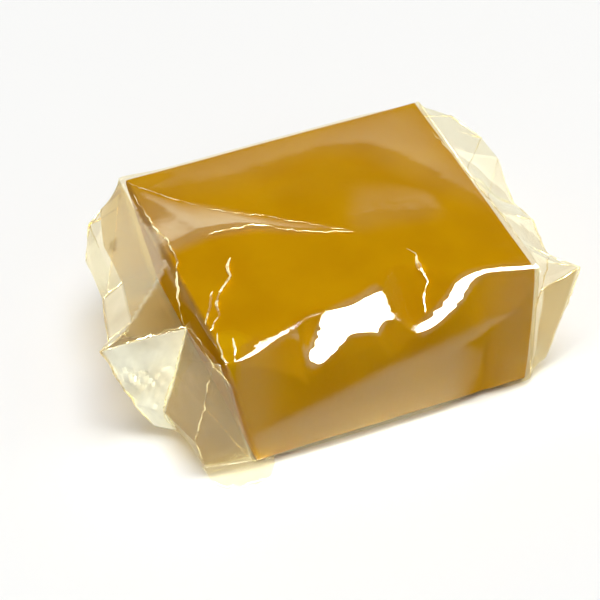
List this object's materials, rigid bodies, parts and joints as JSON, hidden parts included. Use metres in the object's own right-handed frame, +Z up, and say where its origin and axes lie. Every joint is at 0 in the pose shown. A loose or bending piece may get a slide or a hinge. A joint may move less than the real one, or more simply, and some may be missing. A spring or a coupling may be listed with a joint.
{
  "type": "wrapped vanilla caramel",
  "caption": "Soft vanilla caramel block in a sleeve of clear film, loosely folded over at both ends; lies flat on its base.",
  "frame": {"origin": "centre of the footprint box, on the surface that the caramel lies on", "axes": "+X along the block's long sides, from the larger end fold to the smaller one; -Y is the front, which the picture shows; +Z up"},
  "size_m": [0.0378, 0.0254, 0.0126],
  "materials": {
    "caramel": "satin",
    "clear_film": "glossy clear film"
  },
  "bodies": {
    "root": {"caramel": "caramel", "film_wrapper": "clear_film"}
  },
  "joints": []
}
